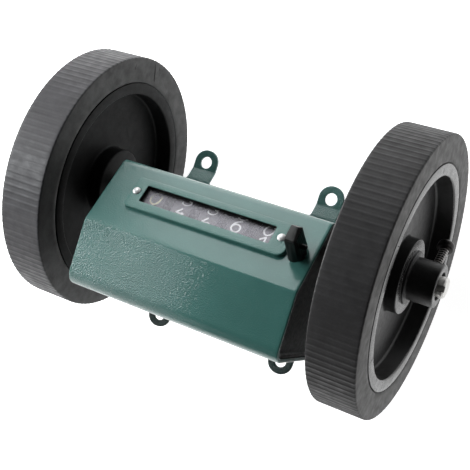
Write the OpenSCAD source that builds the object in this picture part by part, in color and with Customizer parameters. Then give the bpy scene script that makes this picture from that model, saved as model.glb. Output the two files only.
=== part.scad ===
// Two-wheel roller length counter: sheet-steel housing on a base plate with
// four joggled ears, a geared five-wheel counter behind a window, and two
// rubber-tyred wheels on one axle.
// Row frame: X along the axle, Y across the ears, Z up from the mounting plane.
// The origin is the centre of the four ear holes, on the mounting plane.

/* [Wheels] */
// Outside diameter of the rubber tyre
tyre_d = 95.5; // [94:0.1:97]
// Width of each wheel across its tyre
wheel_w = 16.4; // [15:0.1:18]
// Distance between the two outer tyre faces
track_w = 132.4; // [130:0.2:140]
// Outside diameter of the plastic rim, under the tyre
rim_d = 76.2; // [74:0.2:80]
// Radial thickness of the plastic rim
rim_t = 4; // [3:0.1:5]
// Thickness of the wheel's web
web_t = 3; // [2:0.1:4]
// Diameter of the wheel's boss
boss_d = 25.2; // [22:0.2:28]
// Diameter of the outer hub
hub_d = 14.4; // [13:0.1:16]
// Length of the hub beyond the outer tyre face
hub_out = 7.7; // [7:0.1:9]

/* [Axle] */
// Axle diameter
axle_d = 7; // [6.6:0.1:7.4]
// Axle length beyond each hub
axle_out = 2.1; // [1.5:0.1:4]
// Axle height above the mounting plane
axle_z = 16.2; // [16:0.1:16.4]
// Axle distance behind the centre of the ears
axle_y = 13; // [12.8:0.1:13.2]

/* [Housing] */
// Housing depth across the ears
house_w = 44.8; // [44.6:0.1:46]
// Height of the flat top above the mounting plane
house_top = 57; // [56.8:0.1:59]
// Left end of the housing
house_x0 = -34.4; // [-36:0.1:-34]
// Right end of the housing
house_x1 = 43.2; // [43:0.1:45]
// Slope of the window face, degrees
face_deg = 30.5; // [30:0.1:31]
// Where the flat top meets the window face
crease_y = -0.3; // [-0.5:0.1:0]
// Sheet thickness of the cover
cover_t = 1.2; // [1:0.1:1.3]

/* [Base] */
// Sheet thickness of the base plate and its ears
base_t = 1.2; // [1:0.1:1.4]
// Step from the ears up to the base plate
joggle = 2.4; // [2:0.1:3]
// Ear hole spacing along the axle
ear_sx = 51.4; // [50:0.1:54]
// Ear hole spacing across the base
ear_sy = 60.1; // [60:0.1:62]
// Ear hole diameter
ear_hole_d = 4.5; // [4:0.1:4.8]
// Ear width
ear_w = 9.5; // [9:0.1:10.5]

/* [Counter] */
// Drum diameter of the number wheels
drum_d = 18; // [17:0.1:18.2]
// Spacing of the number wheels
drum_pitch = 10.2; // [10:0.1:10.3]
// Width of each drum band
drum_w = 6.8; // [6:0.1:6.9]
// Middle of the row of number wheels
drum_mid = 4.3; // [4:0.1:4.5]
// Height of the reset knob above the window face
knob_h = 11.5; // [10:0.1:12]

/* [Hidden] */
$fn = 96;
hw = house_w / 2;
zb = joggle + base_t;                 // underside of the cover
wheel_in = track_w / 2 - wheel_w;     // inner tyre face
tyre_r = tyre_d / 2;
rim_r = rim_d / 2;
axle_r = axle_d / 2;
hub_end = track_w / 2 + hub_out;
axle_end = hub_end + axle_out;
sf = sin(face_deg);
cf = cos(face_deg);
c0 = crease_y * sf + house_top * cf;
run = 0.05;                           // radial running clearance
// counter shaft, under the middle of the window
win_s = 15.05;
shaft_depth = 10.9;
cs_y = crease_y + win_s * cf - shaft_depth * sf;
cs_z = house_top - win_s * sf - shaft_depth * cf;
// intermediate shaft, by the two centre distances
d_ab = 16;
d_cd = 11.25;
d_ac = norm([cs_y - axle_y, cs_z - axle_z]);
ia = (d_ab * d_ab - d_cd * d_cd + d_ac * d_ac) / (2 * d_ac);
ih = sqrt(d_ab * d_ab - ia * ia);
uy = (cs_y - axle_y) / d_ac;
uz = (cs_z - axle_z) / d_ac;
is_y = axle_y + uy * ia - uz * ih;
is_z = axle_z + uz * ia + uy * ih;
// transfer pinion shaft
tp_m = 0.72;
d_tp = 14 * tp_m;
tp_dir = 200;
tp_y = cs_y + d_tp * cos(tp_dir);
tp_z = cs_z + d_tp * sin(tp_dir);
// reset comb pivot
cp_y = -4.7;
cp_z = 46;
comb_x = 39.2;
// frame plates of the counter
fl_x0 = -24.4;
fl_x1 = 31.4;
fp_t = 1.2;
clip_x = [house_x0 + 4.7, house_x1 - 5.4];
cover_screw_x = [house_x0 + 16, house_x1 - 16];
// reset knob on the window face
knob_x = 38;
knob_s = 12.2;

// ---- helpers ----

// extrudes a (Y, Z) shape along X from x0 to x1
module along_x(x0, x1) {
    translate([x0, 0, 0]) rotate([90, 0, 90]) linear_extrude(x1 - x0) children();
}

// cylinder along X at (y, z)
module rod(x0, x1, r, y = 0, z = 0) {
    translate([x0, y, z]) rotate([0, 90, 0]) cylinder(h = x1 - x0, r = r);
}

// places children on the window face: x, distance s from the crease, height off
module on_face(x, s, off) {
    translate([x, crease_y + s * cf, house_top - s * sf])
        rotate([-face_deg, 0, 0]) translate([0, 0, off]) children();
}

// sharp corners of the housing section, inset by d
function sec_b(d) = [-hw + d, house_top - d];
function sec_k(d) = [(c0 - d - (house_top - d) * cf) / sf, house_top - d];
function sec_t(d) = [hw - d, (c0 - d - (hw - d) * sf) / cf];
// arc points of a right turn from direction a0 to a1 at corner p
function turn(p, a0, a1, r, n = 10) =
    let (t = r * tan((a0 - a1) / 2),
         s = p - t * [cos(a0), sin(a0)],
         c = s + r * [cos(a0 - 90), sin(a0 - 90)])
    [for (i = [0 : n]) let (b = a0 + 90 + (a1 - a0) * i / n)
        c + r * [cos(b), sin(b)]];
// housing section inset by d, standing on height z0
function section(d, z0) = concat(
    [[-hw + d, z0]],
    turn(sec_b(d), 90, 0, max(5 - d, 0.5)),
    turn(sec_k(d), 0, -face_deg, max(3 - d, 0.5)),
    turn(sec_t(d), -face_deg, -90, max(2.6 - d, 0.4)),
    [[hw - d, z0]]);

// spur gear section with n teeth of module m, one tooth at angle 0
module gear2d(n, m, fill = 0.42) {
    rp = n * m / 2;
    ra = rp + 0.85 * m;
    rf = rp - 1.15 * m;
    p = 360 / n;
    w = p * fill / 2;
    polygon([for (i = [0 : n - 1]) for (q = [[rf, -w * 1.45], [rp, -w],
        [ra, -w * 0.5], [ra, w * 0.5], [rp, w], [rf, w * 1.45]])
        q[0] * [cos(i * p + q[1]), sin(i * p + q[1])]]);
}

// ---- housing ----

module cover() color([0.30, 0.42, 0.39]) difference() {
    union() {
        along_x(house_x0, house_x1) difference() {
            polygon(section(0, zb));
            polygon(section(cover_t, zb - 1));
        }
        // flanges turned in along the bottom edges
        for (s = [-1, 1]) translate([house_x0 + 7, s * (hw - 3.1) - 2.9, zb])
            cube([house_x1 - house_x0 - 14, 5.8, cover_t]);
    }
    // opening that holds the pane, wider than the bezel's window
    on_face(4.4, win_s, -2) translate([-25, -4.4, 0]) cube([50, 8.8, 4]);
    // rivet holes
    for (x = [-22.2, 31.2]) on_face(x, 15.1, -2) cylinder(h = 4, r = 1.05);
    // reset spindle hole
    on_face(knob_x, knob_s, -2) cylinder(h = 4, r = 1.6 + run);
    // threaded holes in the two bottom flanges
    for (x = cover_screw_x) for (y = [-19.2, 19.2])
        translate([x, y, 0]) cylinder(h = 8, r = 1.25);
}

// one ear, its hole at the origin, root towards -Y
module ear() {
    difference() {
        union() {
            translate([-ear_w / 2, -3.45, 0]) cube([ear_w, 3.45, base_t]);
            cylinder(h = base_t, r = ear_w / 2);
            rotate([90, 0, 90]) translate([0, 0, -ear_w / 2]) linear_extrude(ear_w)
                polygon([[-3.45, 0], [-3.3, 0], [-3.3, base_t], [-3.1, base_t],
                    [-ear_sy / 2 + hw, joggle + base_t],
                    [-ear_sy / 2 + hw, joggle], [-3.85, 0]]);
        }
        translate([0, 0, -1]) cylinder(h = base_t + 2, r = ear_hole_d / 2);
    }
}

module base_plate() color([0.29, 0.40, 0.37]) difference() {
    union() {
        translate([house_x0, -hw, joggle])
            cube([house_x1 - house_x0, house_w, base_t]);
        for (x = [-ear_sx / 2, ear_sx / 2]) {
            translate([x, ear_sy / 2, 0]) ear();
            translate([x, -ear_sy / 2, 0]) rotate([0, 0, 180]) ear();
        }
    }
    // screw holes for the end plates and the counter frame
    for (x = [house_x0 + 5.4, house_x1 - 5.4]) for (y = [-12, 12])
        translate([x, y, 0]) cylinder(h = 8, r = 1.6);
    for (x = [-17, 24]) translate([x, -8, 0]) cylinder(h = 8, r = 1.6);
    // screw holes for the cover
    for (x = cover_screw_x) for (y = [-19.2, 19.2])
        translate([x, y, 0]) cylinder(h = 8, r = 1.6);
}

// pressed end plate: recessed panel, lip along the cover, two feet
module end_plate(x, s) {
    mirror([s < 0 ? 1 : 0, 0, 0]) translate([x, 0, 0]) difference() {
        union() {
            // lip
            along_x(-2, 0) difference() {
                polygon(section(cover_t + 0.1, zb + 0.1));
                polygon(section(cover_t + 1.3, zb + 1.3));
            }
            // recessed panel
            along_x(-2, -0.9) polygon(section(cover_t + 0.7, zb + 0.7));
            // feet
            for (y = [-12, 12]) translate([-9, y - 4, zb + 0.05])
                cube([7, 8, 1.25]);
        }
        // bush seat
        translate([-10, axle_y, axle_z]) rotate([0, 90, 0])
            cylinder(h = 12, r = 5.5);
        // threaded feet
        for (y = [-12, 12]) translate([-5.1, y, 0]) cylinder(h = 8, r = 1.25);
    }
}

module left_end_plate() color([0.12, 0.13, 0.13]) end_plate(-house_x0 - 0.3, -1);
module right_end_plate() color([0.12, 0.13, 0.13]) end_plate(house_x1 - 0.3, 1);

// pan-head screw, head towards -Z, its seat at z = 0
module pan_screw(len) {
    cylinder(h = len, r = 1.22);
    translate([0, 0, -0.7]) cylinder(h = 0.7, r = 2.7);
    difference() {
        translate([0, 0, -1.7]) cylinder(h = 1, r1 = 2.1, r2 = 2.7);
        translate([-3, -0.35, -2]) cube([6, 0.7, 0.9]);
    }
}

module base_screws() color([0.62, 0.63, 0.64])
    for (x = [house_x0 + 5.4, house_x1 - 5.4]) for (y = [-12, 12])
        translate([x, y, joggle]) pan_screw(4.2);

module cover_screws() color([0.62, 0.63, 0.64])
    for (x = cover_screw_x) for (y = [-19.2, 19.2])
        translate([x, y, joggle]) pan_screw(3.4);

module frame_screws() color([0.62, 0.63, 0.64])
    for (x = [-17, 24]) translate([x, -8, joggle]) pan_screw(4.2);

// flanged bearing bush
module bush(x, s) mirror([s < 0 ? 1 : 0, 0, 0]) difference() {
    union() {
        rod(x - 4, x - 0.9, 5.5, axle_y, axle_z);
        rod(x - 0.9, x + 1.2, 6.6, axle_y, axle_z);
    }
    rod(x - 6, x + 3, axle_r + run, axle_y, axle_z);
}
module left_bush() color([0.55, 0.43, 0.24]) bush(-house_x0 - 0.3, -1);
module right_bush() color([0.55, 0.43, 0.24]) bush(house_x1 - 0.3, 1);

module bezel_plate() color([0.36, 0.47, 0.44]) on_face(5.1, 14.8, 0.02) difference() {
    union() {
        translate([-29.1 + 2.2, -5.95, 0]) cube([58.2 - 4.4, 11.9, 1.5]);
        translate([-29.1, -5.95 + 2.2, 0]) cube([58.2, 11.9 - 4.4, 1.5]);
        for (x = [-26.9, 26.9]) for (y = [-3.75, 3.75])
            translate([x, y, 0]) cylinder(h = 1.5, r = 2.2);
    }
    // window
    translate([-0.7 - 23.75, 0.25 - 3.2, -1]) cube([47.5, 6.4, 4]);
    for (x = [-22.2, 31.2]) translate([x - 5.1, 0.3, -1]) cylinder(h = 4, r = 1.05);
}

module bezel_rivets() color([0.80, 0.80, 0.79])
    for (x = [-22.2, 31.2]) on_face(x, 15.1, 0) {
        translate([0, 0, -2]) cylinder(h = 3.6, r = 1);
        translate([0, 0, 1.53]) intersection() {
            cylinder(h = 0.9, r = 1.35);
            translate([0, 0, -0.8]) sphere(r = 1.7);
        }
        translate([0, 0, -2]) cylinder(h = 0.8, r = 1.5);
    }

module window_pane() color([0.80, 0.80, 0.82, 0.35])
    on_face(4.4, 15.05, -0.9) translate([-24.8, -4.2, 0]) cube([49.6, 8.4, 0.9]);

// ---- counter frame and drive ----

module frame_outline() difference() {
    polygon([[-14, zb + 0.05], [15.5, zb + 0.05], [16, 6], [20, 10], [20, 30], [13.5, 46],
        [4, 48.5], [-9, 51.5], [-12, 49], [-14, 30]]);
    translate([axle_y, axle_z]) circle(r = 4.6);
    translate([cs_y, cs_z]) circle(r = 1.5);
    translate([tp_y, tp_z]) circle(r = 0.75);
    translate([is_y, is_z]) circle(r = 1.5 + run);
    translate([cp_y, cp_z]) circle(r = 1.2 + run);
}

module counter_frame() color([0.66, 0.66, 0.64]) difference() {
    union() {
        for (x = [fl_x0, fl_x1]) along_x(x, x + fp_t) frame_outline();
        translate([fl_x0, -12, zb + 0.05]) cube([fl_x1 - fl_x0 + fp_t, 8, fp_t]);
    }
    for (x = [-17, 24]) translate([x, -8, 0]) cylinder(h = 8, r = 1.25);
}

module axle() color([0.78, 0.78, 0.76]) difference() {
    translate([0, axle_y, axle_z]) rotate([0, 90, 0]) rotate_extrude() polygon([
        [0, -axle_end], [axle_r - 0.5, -axle_end], [axle_r, -axle_end + 0.5],
        [axle_r, axle_end - 0.5], [axle_r - 0.5, axle_end], [0, axle_end]]);
    // clip grooves inside the bushes
    for (x = clip_x) translate([x - 0.05, axle_y, axle_z])
        rotate([0, 90, 0]) difference() {
            cylinder(h = 0.9, r = axle_r + 1);
            translate([0, 0, -1]) cylinder(h = 3, r = axle_r - 0.5);
        }
    // short keyways at the two ends
    for (s = [-1, 1]) translate([s * axle_end, axle_y, axle_z])
        rotate([s > 0 ? 8 : 40, 0, 0]) translate([-3.5, -0.95, axle_r - 1.2]) cube([7, 1.9, 4]);
}

module axle_clips() color([0.20, 0.20, 0.20])
    for (x = clip_x) difference() {
        rod(x, x + 0.8, 5.6, axle_y, axle_z);
        rod(x - 1, x + 2, axle_r - 0.45, axle_y, axle_z);
        translate([x - 1, axle_y - 1.6, axle_z - 8]) cube([3, 3.2, 7]);
    }

// one wheel core, outer side towards +X
module wheel_core(a) difference() {
    translate([0, axle_y, axle_z]) rotate([0, 90, 0]) rotate_extrude() polygon([
        [axle_r + 0.03, wheel_in + 0.8],
        [boss_d / 2 - 0.5, wheel_in + 0.8],
        [boss_d / 2, wheel_in + 1.3],
        [boss_d / 2, wheel_in + 6.7],
        [rim_r - rim_t, wheel_in + 6.7],
        [rim_r - rim_t, wheel_in + 0.5],
        [rim_r - rim_t + 0.5, wheel_in],
        [rim_r, wheel_in],
        [rim_r, wheel_in + wheel_w],
        [rim_r - rim_t + 0.5, wheel_in + wheel_w],
        [rim_r - rim_t, wheel_in + wheel_w - 0.5],
        [rim_r - rim_t, wheel_in + 6.7 + web_t],
        [boss_d / 2, wheel_in + 6.7 + web_t],
        [boss_d / 2, track_w / 2 - 2.4],
        [boss_d / 2 - 0.3, track_w / 2 - 2.1],
        [9, track_w / 2 - 2.1],
        [8.7, track_w / 2 - 1.2],
        [hub_d / 2, track_w / 2 - 1],
        [hub_d / 2, hub_end - 0.5],
        [hub_d / 2 - 0.5, hub_end],
        [axle_r + 1.2, hub_end],
        [axle_r + 1.2, hub_end - 1.2],
        [axle_r + 0.03, hub_end - 1.2]]);
    // radial hole of the set screw
    translate([70, axle_y, axle_z]) rotate([a - 90, 0, 0])
        translate([0, 0, 1]) cylinder(h = 12, r = 1.5);
}

module right_wheel_core() color([0.11, 0.11, 0.115]) wheel_core(-35);
module left_wheel_core() color([0.11, 0.11, 0.115])
    mirror([1, 0, 0]) wheel_core(100);

module tyre() translate([0, axle_y, axle_z]) rotate([0, 90, 0]) rotate_extrude()
    polygon([
        [rim_r, wheel_in], [tyre_r - 0.8, wheel_in],
        [tyre_r - 0.25, wheel_in + 0.25], [tyre_r, wheel_in + 0.8],
        [tyre_r, wheel_in + wheel_w - 0.8],
        [tyre_r - 0.25, wheel_in + wheel_w - 0.25],
        [tyre_r - 0.8, wheel_in + wheel_w], [rim_r, wheel_in + wheel_w]]);
module right_tyre() color([0.19, 0.185, 0.185]) tyre();
module left_tyre() color([0.19, 0.185, 0.185]) mirror([1, 0, 0]) tyre();

// cap screw standing on the axle, radially outwards at angle a
module set_screw(a) translate([70, axle_y, axle_z]) rotate([a - 90, 0, 0]) difference() {
    union() {
        translate([0, 0, axle_r + 0.05]) cylinder(h = 11, r = 1.47);
        translate([0, 0, 14.2]) cylinder(h = 2.3, r = 2.75);
        translate([0, 0, 16.5]) cylinder(h = 0.7, r1 = 2.75, r2 = 2.1);
    }
    translate([0, 0, 15.6]) cylinder(h = 3, r = 1.4, $fn = 6);
}
module right_set_screw() color([0.10, 0.10, 0.10]) set_screw(-35);
module left_set_screw() color([0.10, 0.10, 0.10])
    mirror([1, 0, 0]) set_screw(100);

ab_dir = atan2(is_z - axle_z, is_y - axle_y);
cd_dir = atan2(cs_z - is_z, cs_y - is_y);

module drive_gear() color([0.72, 0.58, 0.28]) difference() {
    union() {
        translate([0, axle_y, axle_z]) rotate([ab_dir, 0, 0])
            along_x(-27.7, -25.4) gear2d(24, 0.5);
        rod(-28.7, -27.5, 5.2, axle_y, axle_z);
    }
    rod(-32, -24, axle_r + 0.02, axle_y, axle_z);
}

module intermediate_shaft() color([0.75, 0.75, 0.74])
    rod(-30, fl_x1 + fp_t + 1, 1.5, is_y, is_z);

module intermediate_gear() color([0.84, 0.82, 0.74]) difference() {
    union() {
        translate([0, is_y, is_z]) rotate([ab_dir + 180 + 4.5, 0, 0])
            along_x(-27.6, -25.4) gear2d(40, 0.5);
        rod(-29.2, -27.5, 3.4, is_y, is_z);
    }
    rod(-32, -24, 1.5, is_y, is_z);
    // lightening groove of the moulded disc
    translate([-27.7, is_y, is_z]) rotate([0, 90, 0]) difference() {
        cylinder(h = 0.8, r = 8.3);
        translate([0, 0, -1]) cylinder(h = 3, r = 4);
    }
}

module intermediate_pinion() color([0.84, 0.82, 0.74]) difference() {
    union() {
        translate([0, is_y, is_z]) rotate([cd_dir, 0, 0])
            along_x(28.4, 29.9) gear2d(15, 0.5);
        rod(29.8, 31.2, 2.9, is_y, is_z);
    }
    rod(27, 33, 1.5, is_y, is_z);
}

// ---- number wheels ----

module counter_shaft() color([0.75, 0.75, 0.74])
    rod(fl_x0 - 0.6, fl_x1 + fp_t + 0.6, 1.5, cs_y, cs_z);

// number wheel k, counted from the left
module number_wheel(k, ring = true) {
    x = drum_mid + (k - 2) * drum_pitch;
    hb = drum_w / 2;
    difference() {
        union() {
            rod(x - hb, x + hb, drum_d / 2, cs_y, cs_z);
            rod(x - hb - 1.6, x, 5.8, cs_y, cs_z);
            if (ring) translate([0, cs_y, cs_z]) rotate([tp_dir, 0, 0])
                along_x(x + hb - 0.2, x + hb + 1.6) gear2d(20, tp_m);
            if (!ring) translate([0, cs_y, cs_z]) rotate([cd_dir + 180 + 6, 0, 0])
                along_x(x + hb + 0.2, x + hb + 1.9) gear2d(30, 0.5);
            if (!ring) rod(x, x + hb + 0.5, 5.8, cs_y, cs_z);
        }
        rod(x - 9, x + 9, 1.5 + run, cs_y, cs_z);
        // dished left side of the drum
        translate([x - hb - 0.1, cs_y, cs_z]) rotate([0, 90, 0]) difference() {
            cylinder(h = 1.3, r = 8);
            translate([0, 0, -1]) cylinder(h = 4, r = 5.8);
        }
    }
}
module top_wheel() color([0.16, 0.15, 0.16]) number_wheel(0);
module thousands_wheel() color([0.16, 0.15, 0.16]) number_wheel(1);
module hundreds_wheel() color([0.16, 0.15, 0.16]) number_wheel(2);
module tens_wheel() color([0.16, 0.15, 0.16]) number_wheel(3);
module units_wheel() color([0.16, 0.15, 0.16]) number_wheel(4, false);

module pinion_shaft() color([0.75, 0.75, 0.74])
    rod(fl_x0 - 0.4, fl_x1 + fp_t + 0.4, 0.75, tp_y, tp_z);

// transfer pinion between wheels k and k + 1
module transfer_pinion(k) {
    x = drum_mid + (k - 1.5) * drum_pitch;
    difference() {
        translate([0, tp_y, tp_z]) rotate([tp_dir + 180 + 22.5, 0, 0])
            along_x(x - 1.5, x + 1.5) gear2d(8, tp_m);
        rod(x - 3, x + 3, 0.75 + run, tp_y, tp_z);
    }
}
module transfer_pinion_1() color([0.16, 0.15, 0.16]) transfer_pinion(3);
module transfer_pinion_2() color([0.16, 0.15, 0.16]) transfer_pinion(2);
module transfer_pinion_3() color([0.16, 0.15, 0.16]) transfer_pinion(1);
module transfer_pinion_4() color([0.16, 0.15, 0.16]) transfer_pinion(0);

// ---- reset ----

module reset_knob() color([0.09, 0.09, 0.09]) on_face(knob_x, knob_s, 0) difference() {
    union() {
        // round barrel, low enough to turn beside the bezel
        translate([0, 0, 0.25]) cylinder(h = 1.8, r = 2.7);
        // wing grip: oblong foot, shoulder, crest with a slanted right edge
        hull() {
            for (q = [-2, 2]) translate([0, q, 1.75]) cylinder(h = 0.1, r = 2.15, $fn = 32);
            translate([0, 0, knob_h - 1.2]) linear_extrude(0.1)
                polygon([[-1.85, -2.9], [1.75, -2.9], [1.5, 3.5], [-1.85, 3.4]]);
            translate([0, 0, knob_h - 0.1]) linear_extrude(0.1)
                polygon([[-1.7, -2.7], [1.6, -2.8], [0.65, 2.6], [-1.8, 2.7]]);
        }
    }
    translate([0, 0, -1]) cylinder(h = 8.5, r = 1.6);
    translate([1, 0, 5.4]) rotate([0, 90, 0]) cylinder(h = 4, r = 0.9);
}

module knob_screw() color([0.12, 0.12, 0.12]) on_face(knob_x, knob_s, 5.4) difference() {
    translate([1.25, 0, 0]) rotate([0, 90, 0]) cylinder(h = 2.35, r = 0.88);
    translate([2.9, 0, 0]) rotate([0, 90, 0]) cylinder(h = 1, r = 0.45, $fn = 6);
}

module reset_spindle() color([0.75, 0.75, 0.74]) on_face(knob_x, knob_s, 0)
    difference() {
        union() {
            translate([0, 0, -4.4]) cylinder(h = 11.8, r = 1.6);
            // cam disc and its lug
            translate([0, 0, -5.2]) cylinder(h = 1, r = 2.5);
            translate([0, -1.6, -6.9]) cylinder(h = 1.9, r = 0.85);
        }
        // clip groove
        translate([0, 0, -2]) difference() {
            cylinder(h = 0.7, r = 3);
            translate([0, 0, -1]) cylinder(h = 3, r = 1.3);
        }
        translate([1.2, 0, 5.4]) rotate([0, 90, 0]) cylinder(h = 4, r = 0.9);
    }

module spindle_clip() color([0.20, 0.20, 0.20]) on_face(knob_x, knob_s, -1.95)
    difference() {
        cylinder(h = 0.6, r = 2.3);
        translate([0, 0, -1]) cylinder(h = 3, r = 1.32);
        translate([-0.8, 0, -1]) cube([1.6, 4, 3]);
    }

module reset_comb() color([0.66, 0.66, 0.64]) {
    rod(fl_x0 - 1.4, 40.5, 1.2, cp_y, cp_z);
    // one finger over each number wheel's left side disc
    for (k = [0 : 4]) {
        x = drum_mid + (k - 2) * drum_pitch - drum_w / 2 - 1.35;
        along_x(x, x + 1.1) polygon([[cp_y, cp_z - 1.1], [2.4, cp_z + 0.2],
            [2.6, cp_z + 1.4], [cp_y, cp_z + 1.1]]);
    }
    // driven arm, its follower nub beside the cam's lug
    translate([comb_x, cp_y, cp_z]) rotate([90, 0, 90]) linear_extrude(1.1)
        polygon([[0, -1.15], [3, -1.9], [9.5, -3.7], [12.3, -3.7], [12.8, -0.45],
            [12.15, -0.07], [11.14, -1.79], [9, -1.6], [0, 1.15]]);
}

// torsion spring on the comb's rod: coil, one leg down, one leg under the arm
spring_r = 1.75;
spring_w = 0.28;
spring_turns = 5.25;
spring_x0 = 33.4;
spring_x1 = 38.5;
function spring_pt(t) = let (a = 270 + 360 * spring_turns * t)
    [spring_x0 + (spring_x1 - spring_x0) * t, cp_y + spring_r * cos(a),
        cp_z + spring_r * sin(a)];
spring_n = 72;
spring_path = concat(
    [[spring_x0, cp_y - 1.2, cp_z - spring_r - 5], [spring_x0, cp_y - 0.5, cp_z - spring_r - 1]],
    [for (i = [0 : spring_n]) spring_pt(i / spring_n)],
    [spring_pt(1) + [0.4, 0.3, -2.2], spring_pt(1) + [1.2, 3, -3]]);
function unit(v) = v / norm(v);
module spring_tube(p, r, m = 8) {
    n = len(p);
    dirs = [for (i = [0 : n - 1]) unit(p[min(i + 1, n - 1)] - p[max(i - 1, 0)])];
    pts = [for (i = [0 : n - 1])
        let (u = unit(cross(dirs[i], [1, 0.01, 0.02])), v = cross(dirs[i], u))
        for (j = [0 : m - 1]) p[i] + r * (cos(360 * j / m) * u + sin(360 * j / m) * v)];
    faces = concat([[for (j = [0 : m - 1]) j]],
        [for (i = [0 : n - 2]) for (j = [0 : m - 1])
            [i * m + j, (i + 1) * m + j, (i + 1) * m + (j + 1) % m, i * m + (j + 1) % m]],
        [[for (j = [m - 1 : -1 : 0]) (n - 1) * m + j]]);
    polyhedron(pts, faces, convexity = 6);
}
module comb_spring() color([0.5, 0.5, 0.5]) spring_tube(spring_path, spring_w);

cover();
base_plate();
left_end_plate();
right_end_plate();
base_screws();
cover_screws();
bezel_plate();
bezel_rivets();
window_pane();
left_bush();
right_bush();
counter_frame();
frame_screws();
axle();
left_wheel_core();
right_wheel_core();
left_tyre();
right_tyre();
left_set_screw();
right_set_screw();
drive_gear();
axle_clips();
intermediate_shaft();
intermediate_gear();
intermediate_pinion();
counter_shaft();
units_wheel();
tens_wheel();
hundreds_wheel();
thousands_wheel();
top_wheel();
pinion_shaft();
transfer_pinion_1();
transfer_pinion_2();
transfer_pinion_3();
transfer_pinion_4();
reset_knob();
reset_spindle();
spindle_clip();
reset_comb();
knob_screw();
comb_spring();
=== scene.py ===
import math

import bmesh
import bpy
import numpy as np
from mathutils import Matrix, Vector, geometry


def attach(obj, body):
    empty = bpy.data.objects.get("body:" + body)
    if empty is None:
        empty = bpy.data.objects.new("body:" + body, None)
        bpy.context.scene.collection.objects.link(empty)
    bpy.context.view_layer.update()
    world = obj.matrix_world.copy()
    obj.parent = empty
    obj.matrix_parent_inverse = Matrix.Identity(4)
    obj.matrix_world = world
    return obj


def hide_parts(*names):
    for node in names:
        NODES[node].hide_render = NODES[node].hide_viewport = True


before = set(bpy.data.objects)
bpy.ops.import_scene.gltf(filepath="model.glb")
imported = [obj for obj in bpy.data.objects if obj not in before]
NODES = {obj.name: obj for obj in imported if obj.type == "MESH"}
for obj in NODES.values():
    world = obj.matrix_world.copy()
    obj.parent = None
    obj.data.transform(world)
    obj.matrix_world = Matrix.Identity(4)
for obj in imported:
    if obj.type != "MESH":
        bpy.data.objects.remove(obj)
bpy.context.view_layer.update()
scene = bpy.context.scene
MM = 0.001

# ---- the part's own sizes, in millimetres ----
HW, TOP, X0, X1 = 22.4, 57.0, -34.4, 43.2
FACE = math.radians(30.5)
SF, CF = math.sin(FACE), math.cos(FACE)
CREASE_Y = -0.3
COVER_T = 1.2
BASE_T, JOGGLE = 1.2, 2.4
ZB = BASE_T + JOGGLE
AY, AZ = 13.0, 16.2
W_IN, W_OUT = 49.8, 66.2
TYRE_R, RIM_R = 47.75, 38.1
HUB_END, AXLE_END = 73.9, 76.0
WIN_S, SHAFT_DEPTH, DRUM_R = 15.05, 10.9, 9.0
CSY = CREASE_Y + WIN_S * CF - SHAFT_DEPTH * SF
CSZ = TOP - WIN_S * SF - SHAFT_DEPTH * CF
KNOB_X, KNOB_S, KNOB_H = 38.0, 12.2, 11.5
RNG = np.random.default_rng(7)


# ---------------------------------------------------------------- mesh tools

def piece(name, verts, faces, body=None, nodes=(), slot=None, mat=None, smooth=True, sharp=38.0, fix=True):
    """A mesh piece from points in millimetres."""
    me = bpy.data.meshes.new(name)
    me.from_pydata((np.asarray(verts, float) * MM).tolist(), [], [list(map(int, f)) for f in faces])
    me.validate()
    if fix:
        bm = bmesh.new()
        bm.from_mesh(me)
        bmesh.ops.remove_doubles(bm, verts=bm.verts, dist=1e-7)
        bmesh.ops.recalc_face_normals(bm, faces=bm.faces)
        bm.to_mesh(me)
        bm.free()
    ob = bpy.data.objects.new(name, me)
    scene.collection.objects.link(ob)
    if smooth:
        me.polygons.foreach_set("use_smooth", [True] * len(me.polygons))
        me.set_sharp_from_angle(angle=math.radians(sharp))
    if mat:
        me.materials.append(mat)
    if body:
        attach(ob, body)
    if nodes:
        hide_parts(*nodes)
    return ob


def join_parts(parts):
    verts, faces, n = [], [], 0
    for v, f in parts:
        v = np.asarray(v, float)
        verts.append(v)
        faces += [[i + n for i in q] for q in f]
        n += len(v)
    return np.vstack(verts), faces


def fillet(pts, radii, closed=True, n=5):
    """Rounds the corners of a polyline."""
    P = [np.array(p, float) for p in pts]
    R = radii if isinstance(radii, (list, tuple)) else [radii] * len(P)
    out, N = [], len(P)
    for i, p in enumerate(P):
        if R[i] <= 0 or (not closed and i in (0, N - 1)):
            out.append(p)
            continue
        a, b = P[i - 1], P[(i + 1) % N]
        la, lb = np.linalg.norm(a - p), np.linalg.norm(b - p)
        u, v = (a - p) / la, (b - p) / lb
        ang = math.acos(max(-1, min(1, float(u @ v))))
        if ang > math.pi - 0.03 or ang < 0.03:
            out.append(p)
            continue
        t = min(R[i] / math.tan(ang / 2), 0.49 * la, 0.49 * lb)
        r = t * math.tan(ang / 2)
        w = u + v
        c = p + w / np.linalg.norm(w) * r / math.sin(ang / 2)
        s, e = p + u * t, p + v * t
        a0 = math.atan2(s[1] - c[1], s[0] - c[0])
        a1 = math.atan2(e[1] - c[1], e[0] - c[0])
        d = (a1 - a0 + math.pi) % (2 * math.pi) - math.pi
        for k in range(n + 1):
            th = a0 + d * k / n
            out.append(c + r * np.array([math.cos(th), math.sin(th)]))
    return np.array(out)


def densify(pts, step, closed=True):
    P = np.asarray(pts, float)
    out = []
    N = len(P)
    for i in range(N if closed else N - 1):
        a, b = P[i], P[(i + 1) % N]
        m = max(1, int(math.ceil(np.linalg.norm(b - a) / step)))
        for k in range(m):
            out.append(a + (b - a) * k / m)
    if not closed:
        out.append(P[-1])
    return np.array(out)


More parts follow.
